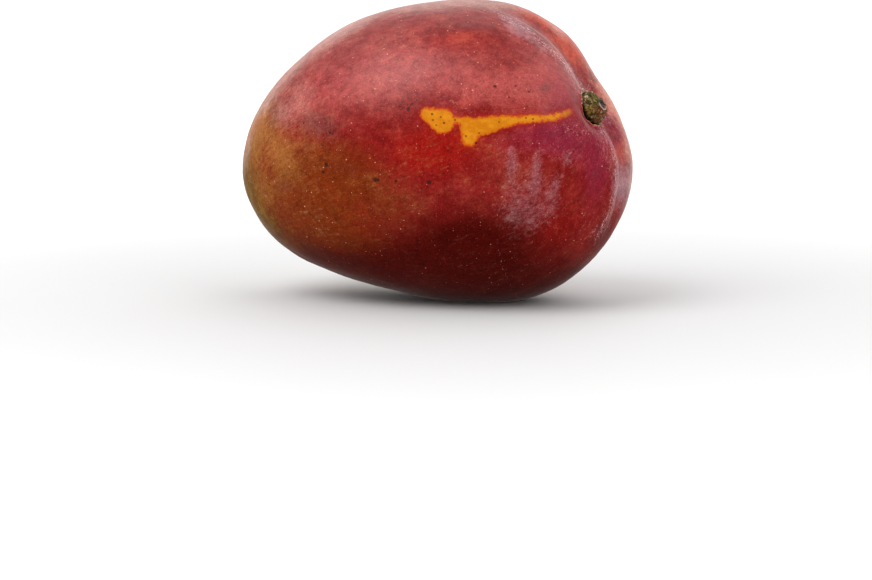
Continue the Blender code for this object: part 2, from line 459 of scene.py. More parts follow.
# Blobs on the side the photograph doesn't show: turn, lift, reach, strength, in the fruit's own axes
backZones = {
    "olive": [(175, -55, 0.75, 0.9), (235, -30, 0.5, 0.6), (175, 10, 0.35, 0.6)],
    "tan": [(120, -65, 0.7, 0.8), (200, -30, 0.8, 0.8)],
    # low: painted shade along the lower edge
    "low": [(-80, -5, 0.5, 0.8)],
    "purple": [(-30, -20, 0.3, 0.5), (20, -30, 0.3, 0.5)],
    "orange": [(60, -40, 0.6, 0.9), (0, -50, 0.55, 0.9)],
    # peachRimLight: the pale orange skin and painted rim light carried on past the outline
    "peachRimLight": [(24, -38, 0.42, 0.7)],
    "bloom": [(80, -30, 0.3, 0.5), (-30, -50, 0.3, 0.6)],
    "speck": [(180, -40, 0.9, 0.8)],
    "scuff": [(-40, -40, 0.4, 0.5)],
    # rimReflection: painted reflection carried round the top
    "rimReflection": [(90, -10, 0.6, 0.4)],
    "ochre": [(160, -45, 0.5, 0.8), (100, -70, 0.4, 0.5)],
    # roseHighlight: the painted highlight carried on past the outline
    "roseHighlight": [(80, -60, 0.5, 0.7)],
    "shine": [(90, -20, 0.9, 1.0), (40, -60, 0.6, 0.6)],
    "smudge": [(150, -40, 0.3, 0.5)],
    "glow": [(60, -60, 0.4, 0.4)],
}

# The pale healed streak: capsules in pixels, each from x, y, radius to x, y, radius
streak = [
    (427, 114, 7, 442, 120.5, 13.5),
    (448, 120, 4.4, 466, 121, 4.4),
    (471, 129, 11.5, 469, 138.5, 9),
    (480, 126, 9.5, 506, 120.8, 6.4),
    (506, 120.8, 6.4, 532, 118.6, 4.8),
    (532, 118.6, 4.8, 556, 116.8, 4.0),
    (556, 116.8, 4.0, 570, 112, 4.0),
]

# Crests of the near shoulder either side of the stem, in pixels
crests = [
    [(500, 14), (528, 29), (542, 41), (559, 54), (568, 66), (576, 80), (581, 90)],
    [(599, 122), (612, 145), (618, 165), (617, 190), (611, 212), (598, 238)],
]

# Small round marks in pixels: x, y, radius
darkDots = [
    (432, 114, 1.2), (441, 117, 1.0), (433, 120, 1.0), (436, 125, 0.9), (444, 123, 1.2), (455, 120, 1.1),
    (466, 136, 1.1), (476, 143, 1.2), (479, 133, 0.9), (499, 122, 0.8), (526, 118, 0.9), (533, 119, 1.0),
    (412, 104, 1.2), (408, 110, 1.0), (330, 133, 1.4), (323, 172, 1.5), (378, 180, 1.6), (396, 181, 1.6),
]
orangeFlecks = [(554, 76, 1.8), (549, 94, 1.3), (560, 84, 0.9), (543, 72, 0.8)]

# How the zones are written to the mesh, three to an attribute
zoneSets = {
    # low holds the painted shade of the underside
    "toneA": ("olive", "tan", "low"),
    "toneB": ("purple", "orange", "peachRimLight"),
    "toneC": ("bloom", "speck", "scuff"),
    "toneD": ("rimReflection", "smudge", "glow"),
    "toneE": ("roseHighlight", "ochre", "shine"),
}
zoneFade = {
    "markEdge": 0.12,        # how sharply marks end where the skin turns away from the camera
    "zoneShift": 0.42,       # how far zones carry on past that line, and how softly they end
    "zoneEdge": 0.5,
    "farPixels": 1000.0,     # stands for nowhere near a mark
    "crestReach": 100.0,
    "mostPixels": 40.0,
    "farRadius": 1.0,
}


def seenShare(zones, x, y):
    total = np.zeros(len(x))
    for zoneX, zoneY, wide, high, turn, strength in zones:
        cosine, sine = math.cos(math.radians(turn)), math.sin(math.radians(turn))
        alongIt = ((x - zoneX) * cosine + (y - zoneY) * sine) / wide
        acrossIt = ((y - zoneY) * cosine - (x - zoneX) * sine) / high
        total += strength * np.exp(-(alongIt**2) - acrossIt**2)
    return total


def backShare(zones, ways):
    total = np.zeros(len(ways))
    for turn, lift, reach, strength in zones:
        away = np.linalg.norm(ways - direction(turn, lift), axis=1)
        total += strength * np.exp(-((away / reach) ** 2))
    return total


def fromSegment(x, y, startX, startY, endX, endY):
    # Where along the segment the nearest place is, from 0 to 1, and how far away
    runX, runY = endX - startX, endY - startY
    share = np.clip(((x - startX) * runX + (y - startY) * runY) / (runX**2 + runY**2), 0.0, 1.0)
    return share, np.hypot(x - startX - share * runX, y - startY - share * runY)


def streakDistance(x, y):
    nearest = np.full(len(x), zoneFade["farPixels"])
    for startX, startY, startRadius, endX, endY, endRadius in streak:
        share, away = fromSegment(x, y, startX, startY, endX, endY)
        nearest = np.minimum(nearest, away - startRadius - share * (endRadius - startRadius))
    return nearest


def crestDistance(x, y):
    # Pixels from the crest, less than nothing on the near side of it
    nearest = np.full(len(x), zoneFade["crestReach"])
    for line in crests:
        for (startX, startY), (endX, endY) in zip(line, line[1:]):
            away = fromSegment(x, y, startX, startY, endX, endY)[1]
            side = np.sign((x - startX) * (endY - startY) - (y - startY) * (endX - startX))
            nearest = np.where(away < abs(nearest), away * side, nearest)
    return nearest


def fineWays(mesh):
    # Directions over the sphere, closer together round the stem; also the turn and angle from it
    start = np.zeros(len(mesh.vertices) * 3)
    mesh.vertices.foreach_get("co", start)
    start = start.reshape(-1, 3)
    share = np.arccos(np.clip(start[:, 2], -1.0, 1.0)) / math.pi
    dense, reach = fruitMesh["denseShare"], fruitMesh["denseReach"]
    wide = reach + (share - dense) / (1.0 - dense) * (math.pi - reach)
    angle = np.where(share < dense, reach * share / dense, wide)
    turn = np.arctan2(start[:, 1], start[:, 0])
    spread = np.stack((np.sin(angle) * np.cos(turn), np.sin(angle) * np.sin(turn), np.cos(angle)), axis=1)
    poleTurn = Vector((0.0, 0.0, 1.0)).rotation_difference(seatWay()).to_matrix()
    return spread @ np.array(poleTurn).T, turn, angle


def sinkSeat(points, place):
    # Presses the socket for the stem into the skin, with a thin raised lip round it
    local = moved(points, place.inverted())
    radius = np.hypot(local[:, 0], local[:, 1])
    turn = np.arctan2(local[:, 1], local[:, 0]) - math.radians(seat["dipTurn"])
    apart = np.abs((turn + math.pi) % math.tau - math.pi) / math.radians(seat["dipSpread"])
    worn = 1.0 - smoothstep((radius - seat["lipRadius"]) / seat["dipReach"])
    dip = seat["dipDepth"] * np.exp(-(apart**2)) * worn
    local[:, 2] -= np.where(local[:, 2] > -seat["lipRadius"], dip, 0.0)
    near = (radius < seat["lipRadius"] * seat["pressReach"]) & (local[:, 2] > -seat["depth"])
    uneven = noiseAt(local * (1.0, 1.0, 0.0), seat["wallScale"]) * seat["wallUnevenness"]
    wall = smoothstep((radius - seat["wallRadius"] - uneven) / seat["wallWidth"] + 0.5)
    lip = seat["lipHeight"] * np.exp(-(((radius - seat["lipRadius"] - uneven) / seat["lipWidth"]) ** 2))
    local[:, 2] = np.where(near, (local[:, 2] + lip) * wall, local[:, 2])
    return moved(local, place), np.where(near, radius - uneven, zoneFade["farRadius"])


def buildFruit(paint):
    bm = bmesh.new()
    counts = {"u_segments": fruitMesh["segments"], "v_segments": fruitMesh["rings"]}
    bmesh.ops.create_uvsphere(bm, radius=1.0, **counts)
    made = newObject("mango_fruit", bm, paint)
    mesh = made.data
    ways, turns, angles = fineWays(mesh)
    wave = (noiseAt(ways, fruitMesh["waveScale"]) - 0.5) * fruitMesh["waveHeight"]
    wave += noiseAt(ways, fruitMesh["dentScale"]) * fruitMesh["dentHeight"]
    wave -= crease(ways) * fruitMesh["creaseDepth"]
    wrinkleAt = np.stack((np.cos(turns), np.sin(turns), angles * 2.0), axis=1)
    folds = np.exp(-((angles / fruitMesh["wrinkleReach"]) ** 2)) * fruitMesh["wrinkleHeight"]
    wave += noiseAt(wrinkleAt, fruitMesh["wrinkleCount"]) * folds
    turn, place = restingTurn(), seatPlace()
    points, radius = sinkSeat(fruitPoints(ways) + ways * wave[:, None], place)
    points = moved(points, turn)
    low = points[:, 2].min() + body["flatSpotDepth"]
    edge = body["flatSpotEdge"]
    share = np.clip(0.5 + 0.5 * (points[:, 2] - low) / edge, 0.0, 1.0)
    points[:, 2] = low + (points[:, 2] - low) * share + edge * share * (1.0 - share)
    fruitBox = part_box("fruit")
    middle = (points.min(axis=0) + points.max(axis=0)) / 2.0
    wanted = (fruitBox[0] + fruitBox[1]) / 2.0
    move = Matrix.Translation((wanted.x - middle[0], wanted.y - middle[1], fruitBox[0].z - low))
    points = moved(points, move)
    mesh.vertices.foreach_set("co", points.ravel())
    mesh.update()
    paintZones(mesh, points, ways, radius)
    writeVectors(mesh, "ring", np.cos(turns), np.sin(turns), angles)
    return made, move @ turn @ place


def paintZones(mesh, points, ways, radius):
    # Writes the zones to the mesh, so that the skin's colours stay on the fruit from every side
    normals = np.zeros(len(points) * 3)
    mesh.vertices.foreach_get("normal", normals)
    toCamera = np.array(cameraPlace) - points
    toCamera /= np.linalg.norm(toCamera, axis=1)[:, None]
    facing = (normals.reshape(-1, 3) * toCamera).sum(axis=1)
    near = smoothstep(facing / zoneFade["markEdge"] + 0.5)
    wide = smoothstep((facing + zoneFade["zoneShift"]) / zoneFade["zoneEdge"])
    x, y = pixelsOf(points)
    share = {}
    for zone, ellipses in seenZones.items():
        share[zone] = wide * seenShare(ellipses, x, y) + (1.0 - wide) * backShare(backZones[zone], ways)
    for name, zones in zoneSets.items():
        writeVectors(mesh, name, *[share[zone] for zone in zones])
    unseen, most = zoneFade["farPixels"] * (1.0 - near), zoneFade["mostPixels"]
    streakAway = np.minimum(streakDistance(x, y) + unseen, most)
    writeVectors(mesh, "marks", streakAway, np.minimum(radius * millimetres, most), near)
    writeVectors(mesh, "crest", np.clip(crestDistance(x, y), -most, most), x, y)
    writeVectors(mesh, "seen", x, y, unseen)


skinColours = {
    "crimson": (0.225, 0.009, 0.008),
    "rose": (0.31, 0.024, 0.022),
    # painted highlight on the upper cheek
    "roseHighlight": (0.46, 0.075, 0.068),
    "glow": (0.29, 0.007, 0.005),
    # painted shade for the underside and for the crease behind the upper crest
    "maroonShade": (0.066, 0.0022, 0.0007),
    "purple": (0.28, 0.015, 0.042),
    "plum": (0.13, 0.010, 0.022),
    "orange": (0.52, 0.055, 0.022),
    # pale orange skin, lightened further as painted rim light
    "peachRimLight": (0.64, 0.24, 0.17),
    "tan": (0.185, 0.024, 0.003),
    "ochre": (0.34, 0.118, 0.026),
    "olive": (0.120, 0.052, 0.001),
    "oliveLight": (0.20, 0.105, 0.005),
    "bloom": (0.44, 0.27, 0.32),
    # painted reflection of the bright room on the rim
    "rimReflection": (0.66, 0.46, 0.39),
    "smudge": (0.12, 0.034, 0.034),
    "scuff": (0.74, 0.46, 0.48),
    "dust": (0.56, 0.31, 0.34),
    "streak": (0.58, 0.180, 0.006),
    "streakLight": (0.68, 0.250, 0.012),
    "streakEdge": (0.50, 0.050, 0.008),
    "pore": (0.80, 0.32, 0.22),
    "faintPore": (0.60, 0.17, 0.13),
    "speck": (0.020, 0.009, 0.008),
    # painted shade inside the socket under the stub
    "socket": (0.030, 0.016, 0.007),
    "lip": (0.56, 0.25, 0.10),
}

# Noise over the skin: how many waves to a metre, detail, roughness, warp
skinNoises = {
    "cloud": (48.0, 4.0, 0.65, 0.0),
    "mottle": (230.0, 5.0, 0.72, 0.0),
    "blotch": (120.0, 4.0, 0.7, 0.6),
    "fleck": (650.0, 3.0, 0.7, 0.0),
    "grain": (2100.0, 2.0, 0.7, 0.0),
    "spark": (3000.0, 1.0, 0.5, 0.0),
}

# Noise drawn out between stem and apex: waves across, waves along, detail, roughness, warp
drawnNoises = {
    "brushed": (14.0, 7.0, 4.0, 0.7, 1.2),
    "fine": (60.0, 16.0, 3.0, 0.7, 0.8),
}

# What is summed from zones and noises, each with its share
skinSums = {
    "edges": {"cloud": 0.8, "mottle": 0.5, "brushed": 0.6, "fleck": 0.3},
    "shade": {"fleck": 0.8, "grain": 1.5, "mottle": 0.7, "blotch": 0.5},
    "wobble": {"mottle": 6.0, "fleck": 5.0, "grain": 4.0},    # in pixels, along the streak's edge
    "rim": {"fleck": 1.2, "grain": 0.6},                      # in millimetres, round the socket
    "roughness": {"waxy": 0.14, "scratch": 0.12, "mottle": 0.14, "healed": 0.08},
    "height": {"grain": 0.03, "fleck": 0.035, "mottle": 0.07, "fine": 0.03, "pore": 0.02},
}

# Colours in the order they are laid on: what is summed, where the sum starts to show and is full, strength
skinLayers = {
    "rose": ({"cloud": 1.0, "mottle": 0.6}, (-0.14, 0.24), 1.0),
    "glow": ({"glow": 1.0, "edges": 0.7}, (0.1, 1.0), 1.0),
    # painted highlight on the upper cheek
    "roseHighlight": ({"roseHighlight": 1.0, "edges": 0.9, "mottle": 0.4}, (0.0, 1.2), 0.8),
    "orange": ({"orange": 1.0, "edges": 1.0}, (0.15, 0.95), 1.0),
    "purple": ({"purple": 1.0, "edges": 1.0}, (0.1, 1.0), 0.85),
    "plum": ({"purple": 0.6, "blotch": 2.4, "mottle": 1.0}, (0.35, 1.0), 0.65),
    "tan": ({"tan": 1.0, "edges": 0.8}, (0.0, 1.05), 1.0),
    "ochre": ({"ochre": 1.0, "edges": 1.0, "fine": 1.3}, (-0.1, 1.4), 1.0),
    "olive": ({"olive": 1.0, "edges": 0.8}, (0.0, 1.0), 1.0),
    # pale orange far shoulder, partly painted rim light
    "peachRimLight": ({"peachRimLight": 1.0, "edges": 1.1, "fleck": 0.5}, (0.15, 1.5), 1.0),
    "smudge": ({"smudge": 1.0, "edges": 0.8, "fleck": 0.6}, (0.15, 1.1), 0.55),
    # painted shade on the underside
    "maroonShade": ({"low": 1.0, "edges": 0.3}, (0.0, 1.1), 0.96),
    # painted reflection along the outline
    "rimReflection": ({"rimReflection": 1.0, "edges": 0.5, "fine": 0.8}, (0.05, 1.2), 0.4),
}
skinMasks = {
    "olives": ({"mottle": 1.0, "brushed": 0.5}, (-0.15, 0.25)),
    "waxy": ({"bloom": 1.0, "edges": 1.1, "fine": 0.9, "fleck": 0.8}, (0.3, 1.1)),
    "thickBloomAndReflection": ({"bloom": 1.0}, (1.0, 2.2)),
    "scratch": ({"scuff": 0.4, "fine": 2.4, "grain": 1.2, "fleck": 0.5}, (0.4, 0.85)),
    "scuffed": ({"scuff": 1.0}, (0.05, 0.6)),
    "worn": ({"fine": 1.6, "grain": 1.8, "fleck": 1.0}, (0.0, 0.4)),
    "sparks": ({"spark": 1.0, "fleck": 0.5}, (0.04, 0.28)),
    "gloss": ({"shine": 1.0, "edges": 0.3}, (0.0, 1.0)),
}

# Round dots: cells to a metre, power and spread of the size drawn for each, least size, soft edge
smallestDot = 0.001
skinDots = {
    "pore": {"scale": 620.0, "power": 2.0, "spread": 0.15, "least": 0.004, "edge": (0.5, 1.1)},
    "faint": {"scale": 1150.0, "power": 1.0, "spread": 0.17, "least": 0.009, "edge": (0.4, 1.1)},
    "speck": {"scale": 300.0, "power": 2.0, "spread": 0.22, "least": 0.01, "edge": (0.5, 1.5)},
    "tiny": {"scale": 700.0, "power": 1.0, "spread": 0.20, "least": 0.0, "edge": (0.5, 1.5)},
}

# Crests, streak and marks in pixels, socket in millimetres; a share is a strength
skinMarks = {
    "bloomShare": 0.2,
    "thickBloomAndReflectionShare": 0.4,
    "scratchShare": 0.42,
    "foldPlace": 2.6,            # painted shade in the crease behind the upper crest
    "foldEdge": (0.4, 3.2),
    "foldEnd": (90.0, 120.0),
    "foldEndShare": 0.8,
    "foldShadeShare": 0.18,
    "wornPlace": -1.0,           # worn pale flecks on both crests, partly a painted highlight along them
    "wornEdge": (0.5, 4.0),
    "wornHighlightShare": 0.6,
    "poreShare": 0.95,
    "poreShareLost": 0.4,        # where the painted shade darkens the underside
    "faintShare": 0.65,
    "faintShareLost": 0.3,
    "underShadeEdge": (0.0, 1.4),
    "speckWhere": (0.1, 0.8),
    "tinyWhere": (0.1, 0.7),
    "streakEnd": (556.0, 578.0),
    "streakEndShare": 0.8,
    "streakEndWobble": 20.0,
    "streakEdge": (-1.2, 1.2),
    "heartEdge": (-3.5, 0.5),
    "heartWobble": 6.0,
    "goldEdge": (-0.15, 0.2),
    "paleFrom": (490.0, 530.0),
    "paleShare": 0.15,
    "glowEdge": (-1.0, 6.0),
    "glowWobble": 1.6,
    "glowShare": 0.45,
    "fleckEdge": (0.2, 1.5),     # in radii of the mark
    "fleckWobble": 4.0,
    "fleckShare": 0.7,
    "dotEdge": (0.5, 1.4),
    "dotWobble": 0.8,
    "dotShare": 0.8,
    "lipRadius": 5.85,
    "lipEdge": (0.12, 0.5),
    "lipShare": 0.85,
    "socketShadeEdge": (5.3, 5.6),
    "dullEdge": (5.3, 5.9),
    "roughness": 0.46,
}
skinFinish = {
    "IOR": 1.45,
    "Specular IOR Level": 0.0,
    "Coat IOR": 1.45,
    "Coat Roughness": 0.45,
    "Sheen Weight": 0.3,
    "Sheen Roughness": 0.3,
    "Sheen Tint": (1.0, 0.85, 0.80),
}


def skinPaint():
    paint = Paint(bpy.data.materials.new("skin"))
    hues = dict(skinColours)
    marks = skinMarks
    parts = {}
    for name, zones in zoneSets.items():
        parts.update(zip(zones, paint.split(name)))
    streakAway, seatRadius, near = paint.split("marks")
    crestAway, seenX, seenY = paint.split("crest")
    ringX, ringY, ringZ = paint.split("ring")
    for name, settings in skinNoises.items():
        parts[name] = paint.noise(*settings)
    for name, (across, along, *settings) in drawnNoises.items():
        drawn = paint.vector(ringX * across, ringY * across, ringZ * along)
        parts[name] = paint.noise(1.0, *settings, at=drawn)
    parts["edges"] = sumOf(parts, skinSums["edges"])
    masks = {name: maskOf(parts, *rule) for name, rule in skinMasks.items()}

    # Base and zones
    paint.colour = hues["crimson"]
    hues["olive"] = paint.blend(masks["olives"], hues["olive"], hues["oliveLight"])
    for name, (shares, edge, strength) in skinLayers.items():
        paint.lay(maskOf(parts, shares, edge) * strength, hues[name])

    # Waxy bloom, its heaviest patches partly a painted reflection beside the lower crest, and scuffs
    waxy = masks["waxy"]
    powder = waxy * marks["bloomShare"] + masks["thickBloomAndReflection"] * marks["thickBloomAndReflectionShare"]
    paint.lay(powder, hues["bloom"])
    scratch = masks["scratch"] * masks["scuffed"]
    paint.lay(scratch * marks["scratchShare"], hues["scuff"])

    # Crests beside the stem: painted shade in the crease behind the upper crest, and worn pale flecks that
    # are partly a painted highlight along both
    foldShade = (1.0 - (crestAway - marks["foldPlace"]).size().step(*marks["foldEdge"])) * near
    foldShade = foldShade * (1.0 - seenY.step(*marks["foldEnd"]) * marks["foldEndShare"])
    paint.lay(foldShade * marks["foldShadeShare"], hues["maroonShade"])
    # worn pale flecks along both crests, partly a painted highlight on the ridges
    worn = (1.0 - (crestAway - marks["wornPlace"]).size().step(*marks["wornEdge"])) * near
    worn = worn * masks["worn"]
    paint.lay(worn * marks["wornHighlightShare"], hues["scuff"])

    # Fine light and dark mottling, and dust
    shade = sumOf(parts, skinSums["shade"]) + 1.0
    shaded = paint.node("VectorMath", {"operation": "SCALE"}, {0: paint.colour, "Scale": shade})
    paint.colour = shaded.outputs["Vector"]
    # dust lies a little thicker on the painted highlight and thinner under the painted shade of the
    # underside
    dusty = waxy * 0.4 + parts["scuff"].step(0.0, 1.0) * 0.2 + parts["roseHighlight"] * 0.08 + 0.03
    dusty = dusty * (1.0 - parts["low"].step(0.2, 1.2) * 0.6)
    paint.lay(masks["sparks"] * dusty, hues["dust"])

    # Pale pores over all of the skin, dark specks where the zones ask for them
    pore = paint.dots(skinDots["pore"])
    faint = paint.dots(skinDots["faint"])
    # fewer pale pores under the painted shade of the underside
    underShade = parts["low"].step(*marks["underShadeEdge"])
    paint.lay(faint * (marks["faintShare"] - underShade * marks["faintShareLost"]), hues["faintPore"])
    paint.lay(pore * (marks["poreShare"] - underShade * marks["poreShareLost"]), hues["pore"])
    dark = paint.dots(skinDots["speck"], parts["speck"].step(*marks["speckWhere"]))
    dark = dark.most(paint.dots(skinDots["tiny"], parts["speck"].step(*marks["tinyWhere"])))

    # The healed streak
    wobble = sumOf(parts, skinSums["wobble"])
    frayed = streakAway + wobble
    end = (seenX + parts["mottle"] * marks["streakEndWobble"]).step(*marks["streakEnd"])
    faded = 1.0 - end * marks["streakEndShare"]
    healed = (1.0 - frayed.step(*marks["streakEdge"])) * faded
    heart = 1.0 - (frayed + parts["mottle"] * marks["heartWobble"]).step(*marks["heartEdge"])
    pale = seenX.step(*marks["paleFrom"]) * marks["paleShare"]
    golden = (parts["mottle"] + parts["fleck"] + pale).step(*marks["goldEdge"])
    gold = paint.blend(golden, hues["streak"], hues["streakLight"])
    around = 1.0 - (streakAway + wobble * marks["glowWobble"]).step(*marks["glowEdge"])
    paint.lay(around * marks["glowShare"], hues["glow"])
    paint.lay(healed, paint.blend(heart, hues["streakEdge"], gold))

    # Small round marks, each at its own place
    seen = paint.node("Attribute", {"attribute_name": "seen"}).outputs["Vector"]
    inner, outer = marks["fleckEdge"]
    for x, y, radius in orangeFlecks:
        away = paint.measure("DISTANCE", seen, (x, y, 0.0)) + parts["fleck"] * marks["fleckWobble"]
        fleck = 1.0 - away.step(radius * inner, radius * outer)
        paint.lay(fleck * marks["fleckShare"], hues["streakEdge"])
    inner, outer = marks["dotEdge"]
    for x, y, radius in darkDots:
        away = paint.measure("DISTANCE", seen, (x, y, 0.0)) + parts["fleck"] * marks["dotWobble"]
        dark = dark.most(1.0 - away.step(radius * inner, radius * outer))
    paint.lay(dark * marks["dotShare"], hues["speck"])

    # Socket: an orange lip round it, and painted shade inside it under the stub
    rim = seatRadius + sumOf(parts, skinSums["rim"])
    lip = (1.0 - (rim - marks["lipRadius"]).size().step(*marks["lipEdge"])) * near
    paint.lay(lip * marks["lipShare"], hues["lip"])
    paint.lay(1.0 - rim.step(*marks["socketShadeEdge"]), hues["socket"])

    parts.update(waxy=waxy, scratch=scratch, healed=healed, pore=pore)
    gloss = masks["gloss"] * 0.95 + 0.02
    gloss = gloss * seatRadius.step(*marks["dullEdge"]) * (1.0 - healed * 0.5)
    paint.feed(paint.shader, skinFinish)
    paint.feed(paint.shader, {"Coat Weight": gloss})
    roughness = sumOf(parts, skinSums["roughness"]) + marks["roughness"]
    return paint.finish(roughness, sumOf(parts, skinSums["height"]))


print("fruit")
fruit, stemPlace = buildFruit(skinPaint())
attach(fruit, "root")
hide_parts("fruit")


stub = {
    "height": 0.0066,
    "collar": 0.0028,
    "baseRadius": 0.0051,
    "tipRadius": 0.0021,
    "waistPower": 1.3,
    "foot": 0.0003,
    "edge": 0.0004,
    "cutSlope": 0.2,
    "ribs": 7,
    "ribDepth": 0.00025,
    "pithRadius": 0.0014,
    "pithDepth": 0.0009,
    "bractTurn": 65,
    "bractHeight": 0.0045,
    "bractSize": 0.0015,
    "bractRelief": 0.0008,
    "segments": 160,
    "rings": 72,
    "crackDepth": 0.00050,
    "crackScale": 420.0,
    "barkDepth": 0.00032,
    "barkScale": 900.0,
    "tipLength": 0.001,      # the smoother end of the bark, below the cut
    "tipEdge": 0.0006,
    "tipCalm": 0.5,
    "smoothReach": 1.4,      # in pith radii
    "scarHollow": 0.9,
    "scarHollowSize": 0.45,
    "stretch": 0.45,         # cracks run along the stub
    "crackWidth": 0.16,
    "ringHeight": 0.00012,
    "ringSpacing": 0.00042,
    "ringWarp": 2.0,
    "ringScale": 500.0,
    "cutRings": 6,
    "pithSteepness": 1.6,
}


def stubRadius(height):
    share = min(max((height - stub["collar"]) / (stub["height"] - stub["collar"]), 0.0), 1.0)
    return stub["tipRadius"] + (stub["baseRadius"] - stub["tipRadius"]) * (1.0 - share ** stub["waistPower"])


def stubRelief(place):
    radius = math.hypot(place.x, place.y)
    slope = Vector((0.0, 0.0, -stub["cutSlope"] * place.x * (place.z / stub["height"]) ** 2))
    tip = smoothstep((place.z - stub["height"] + stub["tipLength"]) / stub["tipEdge"])
    rough = noise.noise(place * stub["barkScale"]) * stub["barkDepth"]
    if radius < stub["pithRadius"] * stub["smoothReach"]:
        return slope + Vector((0.0, 0.0, rough))
    turn = math.atan2(place.y, place.x)
    out = Vector((place.x / radius, place.y / radius, 0.0))
    ribs = stub["ribDepth"] * math.cos(stub["ribs"] * turn) * smoothstep(place.z / seat["depth"] - 1.0)
    bract = Vector(direction(stub["bractTurn"], 0)) * stubRadius(stub["bractHeight"])
    bract.z = stub["bractHeight"]
    away = (place - bract).length / stub["bractSize"]
    hollow = stub["scarHollow"] * math.exp(-((away / stub["scarHollowSize"]) ** 2))
    scar = stub["bractRelief"] * (math.exp(-(away**2)) - hollow)
    drawn = Vector((place.x, place.y, place.z * stub["stretch"]))
    cleft = smoothstep(abs(noise.noise(drawn * stub["crackScale"])) / stub["crackWidth"])
    crack = -stub["crackDepth"] * (1.0 - cleft)
    phase = place.z / stub["ringSpacing"] + stub["ringWarp"] * noise.noise(place * stub["ringScale"])
    worn = (crack + stub["ringHeight"] * math.sin(phase)) * (1.0 - tip * stub["tipCalm"])
    return out * (ribs + scar + worn + rough) + slope


def buildStem(paint, place):
    bm = bmesh.new()
    foot, top = stub["foot"], stub["height"]
    profile = [(0.0, foot), (stubRadius(0.0) - stub["edge"], foot)]
    for step in range(stub["rings"] + 1):
        height = foot + stub["edge"] + (top - foot - 2.0 * stub["edge"]) * step / stub["rings"]
        profile.append((stubRadius(height), height))
    rimWidth = stub["tipRadius"] - stub["edge"] - stub["pithRadius"]
    for step in range(stub["cutRings"]):
        radius = stub["tipRadius"] - stub["edge"] - rimWidth * step / (stub["cutRings"] - 1.0)
        profile.append((radius, top))
    for step in range(1, stub["cutRings"] + 1):
        share = step / stub["cutRings"]
        sunk = stub["pithDepth"] * smoothstep(share * stub["pithSteepness"])
        profile.append((stub["pithRadius"] * (1.0 - share), top - sunk))
    verts = [bm.verts.new((radius, 0.0, height)) for radius, height in profile]
    edges = [bm.edges.new(pair) for pair in zip(verts, verts[1:])]
    bmesh.ops.spin(bm, geom=verts + edges, axis=(0.0, 0.0, 1.0), cent=(0.0, 0.0, 0.0),
                   steps=stub["segments"], angle=math.tau, use_merge=True)
    bmesh.ops.remove_doubles(bm, verts=bm.verts, dist=1e-6)
    rows = [tuple(vert.co * millimetres) for vert in bm.verts]
    for vert in bm.verts:
        vert.co += stubRelief(vert.co)
        vert.co.z = max(vert.co.z, foot)
    bmesh.ops.recalc_face_normals(bm, faces=bm.faces)
    bm.transform(place)
    stem = newObject("mango_stem", bm, paint)
    writeVectors(stem.data, "stubPlace", rows)
    return stem


stemColours = {
    "olive": (0.150, 0.088, 0.012),
    "moss": (0.090, 0.078, 0.014),
    # painted highlight on one side of the stub's middle
    "gold": (0.24, 0.130, 0.012),
    "straw": (0.42, 0.29, 0.13),
    "brown": (0.13, 0.046, 0.014),
    "rust": (0.19, 0.045, 0.016),
    "crack": (0.012, 0.009, 0.003),
    "scar": (0.060, 0.030, 0.018),
    "cut": (0.035, 0.030, 0.034),
    "cutPatch": (0.26, 0.150, 0.125),
    "cutRim": (0.58, 0.38, 0.29),
    "sap": (0.72, 0.50, 0.38),
    "sapShade": (0.06, 0.045, 0.020),
}

# Noise over the bark: waves to a millimetre, detail, roughness, warp
barkNoises = {
    "patch": (0.50, 3.0, 0.6),
    "grain": (5.0, 3.0, 0.6),
    "speckle": (1.7, 3.0, 0.7),
    "fibre": (1.0, 4.0, 0.7, 0.8),
}

# Places in millimetres along the stub and out from its axis, and where each sum starts to show and is full
barkLook = {
    "mossEdge": (-0.1, 0.12),
    "goldHighlightHeight": 3.8,
    "goldHighlightBand": (0.4, 1.4),
    "goldEdge": (0.3, 0.9),
    "brownEdge": (0.35, 0.95),
    "rustFrom": (-2.0, -0.8),     # from the top
    "rustEdge": (-0.2, 0.5),
    "strawEdge": (0.0, 0.2),
    "strawSide": (-4.0, 0.0),
    "scarRing": 1.1,
    "scarRingEdge": (0.1, 0.4),
    "scarEdge": (0.4, 1.0),
    "cleftScale": 0.5,
    "cleftStretch": 0.6,
    "cleftEdge": (0.01, 0.08),
    "cleftWhere": (-0.2, 0.1),
    "groovesEdge": (0.02, 0.22),
    # painted shade at the foot of the stub, heights in millimetres
    "creviceShade": (1.7, 2.3),
    "creviceShadeSide": (-0.2, 0.7),
    "topFrom": (-0.45, -0.2),     # from the top
    "topRadius": (1.4, 1.6),
    "rimInner": (1.45, 1.6),
    "rimOuter": (1.75, 2.0),
    "rimWhere": (0.3, 0.7),
    "hollowEdge": (1.35, 1.55),
    "hollowPatch": (-0.02, 0.12),
}


